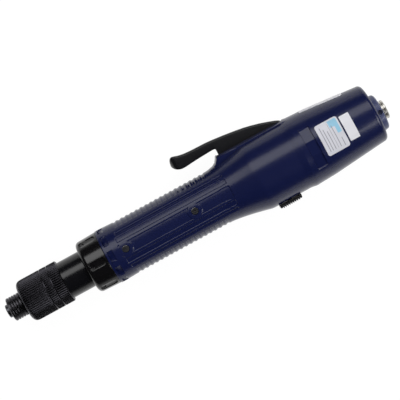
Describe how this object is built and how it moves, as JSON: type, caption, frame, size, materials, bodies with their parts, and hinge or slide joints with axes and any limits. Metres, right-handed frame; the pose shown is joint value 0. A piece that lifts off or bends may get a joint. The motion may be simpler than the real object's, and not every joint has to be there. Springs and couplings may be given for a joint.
{
  "type": "electric torque screwdriver",
  "caption": "Slim inline electric torque screwdriver with start lever, knurled torque sleeve, quick-change bit collar, ribbed grip and round rear connector.",
  "frame": {"origin": "centre of the bit socket's mouth, on the tool's axis, with the tool lying on its side", "axes": "+X along the tool from the bit socket to the connector, +Y towards the start lever, +Z towards the side with the side pocket, which faces up"},
  "size_m": [0.2702, 0.0624, 0.0472],
  "materials": {
    "navy_plastic": "semi-gloss moulded ABS",
    "cap_plastic": "moulded, lighter blue-grey",
    "black_plastic": "finely textured black moulding",
    "black_steel": "black oxide on turned steel",
    "black_enamel": "smooth black finish",
    "ground_steel": "turned and ground",
    "hardened_steel": "heat treated",
    "spring_steel": "drawn wire",
    "nickel": "nickel plated",
    "gold_contact": "plated",
    "cast_alloy": "die-cast",
    "lamination": "stacked laminations",
    "copper_wire": "enamelled winding",
    "magnet": "coated magnet",
    "circuit_board": "solder mask",
    "chip_plastic": "moulded epoxy",
    "capacitor_sleeve": "shrink sleeve",
    "wire_jacket": "insulated wire",
    "plunger_plastic": "moulded"
  },
  "bodies": {
    "housing": {"clutch_tube": "black_enamel", "spindle_bearing": "ground_steel", "front_nut": "black_enamel", "ring_gear": "hardened_steel", "left_shell": "navy_plastic", "right_shell": "navy_plastic", "grip_screws": "black_steel", "motor_front_mount": "cast_alloy", "motor_back_mount": "cast_alloy", "motor_can": "hardened_steel", "stator_core": "lamination", "stator_coils": "copper_wire", "motor_bearings": "ground_steel", "hall_board": "circuit_board", "motor_leads": "wire_jacket", "lever_pin": "ground_steel", "lever_spring": "spring_steel", "direction_switch": "chip_plastic", "start_switch": "chip_plastic", "control_board": "circuit_board", "board_chips": "chip_plastic", "board_capacitors": "capacitor_sleeve", "supply_leads": "wire_jacket", "rear_cap": "cap_plastic", "connector_shell": "nickel", "connector_insert": "black_plastic", "connector_contacts": "gold_contact", "connector_nut": "nickel", "clutch_spring": "spring_steel"},
    "rotor": {"rotor_shaft": "ground_steel", "rotor_magnet": "magnet", "sun_gear": "hardened_steel"},
    "output_spindle": {"spindle": "ground_steel", "collar_ring": "spring_steel", "bit_balls": "ground_steel", "collar_spring": "spring_steel", "clutch_balls": "ground_steel", "planet_carrier": "hardened_steel", "planet_pins": "ground_steel"},
    "planet_1": {"planet_gear_1": "hardened_steel"},
    "planet_2": {"planet_gear_2": "hardened_steel"},
    "planet_3": {"planet_gear_3": "hardened_steel"},
    "collar": {"bit_collar": "black_steel"},
    "thrust": {"thrust_ring": "hardened_steel"},
    "sleeve": {"torque_sleeve": "black_steel"},
    "plate": {"clutch_plate": "hardened_steel"},
    "start_lever": {"lever": "black_plastic"},
    "plunger": {"switch_plunger": "plunger_plastic"},
    "knob": {"direction_knob": "black_plastic"}
  },
  "joints": [
    {"name": "rotor_spin", "type": "hinge", "parent": "housing", "child": "rotor", "pos_m": [0.07, 0, 0], "axis": [1, 0, 0], "continuous": true},
    {"name": "spindle_spin", "type": "hinge", "parent": "housing", "child": "output_spindle", "pos_m": [0, 0, 0], "axis": [1, 0, 0], "continuous": true},
    {"name": "planet_1_spin", "type": "hinge", "parent": "output_spindle", "child": "planet_1", "pos_m": [0.07, 0.0075, 0], "axis": [1, 0, 0], "continuous": true},
    {"name": "planet_2_spin", "type": "hinge", "parent": "output_spindle", "child": "planet_2", "pos_m": [0.07, -0.00375, 0.0065], "axis": [1, 0, 0], "continuous": true},
    {"name": "planet_3_spin", "type": "hinge", "parent": "output_spindle", "child": "planet_3", "pos_m": [0.07, -0.00375, -0.0065], "axis": [1, 0, 0], "continuous": true},
    {"name": "collar_slide", "type": "slide", "parent": "output_spindle", "child": "collar", "axis": [1, 0, 0], "range_m": [0, 0.003], "stiffness_N_per_m": 800, "springref_m": -0.002, "deforming": ["collar_spring"]},
    {"name": "torque_travel", "type": "slide", "parent": "housing", "child": "thrust", "axis": [1, 0, 0], "range_m": [0, 0.00801], "deforming": ["clutch_spring"]},
    {"name": "torque_turn", "type": "hinge", "parent": "thrust", "child": "sleeve", "pos_m": [0, 0, 0], "axis": [1, 0, 0], "range_deg": [0, 1920]},
    {"name": "clutch_trip", "type": "slide", "parent": "output_spindle", "child": "plate", "axis": [-1, 0, 0], "range_m": [0, 0.001], "stiffness_N_per_m": 2000, "springref_m": -0.003, "deforming": ["clutch_spring"]},
    {"name": "lever_press", "type": "hinge", "parent": "housing", "child": "start_lever", "pos_m": [0.204, 0.0198, 0], "axis": [0, 0, 1], "range_deg": [0, 5], "stiffness_Nm_per_rad": 1, "springref_deg": -5.73, "deforming": ["lever_spring"]},
    {"name": "plunger_slide", "type": "slide", "parent": "housing", "child": "plunger", "axis": [0, -1, 0], "range_m": [0, 0.0016]},
    {"name": "direction_slide", "type": "slide", "parent": "housing", "child": "knob", "axis": [1, 0, 0], "range_m": [-0.003, 0.003]}
  ],
  "couplings": [
    {"joint": "spindle_spin", "follows": "rotor_spin", "ratio": 0.2},
    {"joint": "planet_1_spin", "follows": "rotor_spin", "ratio": -0.53333},
    {"joint": "planet_2_spin", "follows": "rotor_spin", "ratio": -0.53333},
    {"joint": "planet_3_spin", "follows": "rotor_spin", "ratio": -0.53333},
    {"joint": "torque_travel", "follows": "torque_turn", "m_per_rad": 0.00023873},
    {"joint": "plunger_slide", "follows": "lever_press", "m_per_rad": 0.0165}
  ]
}
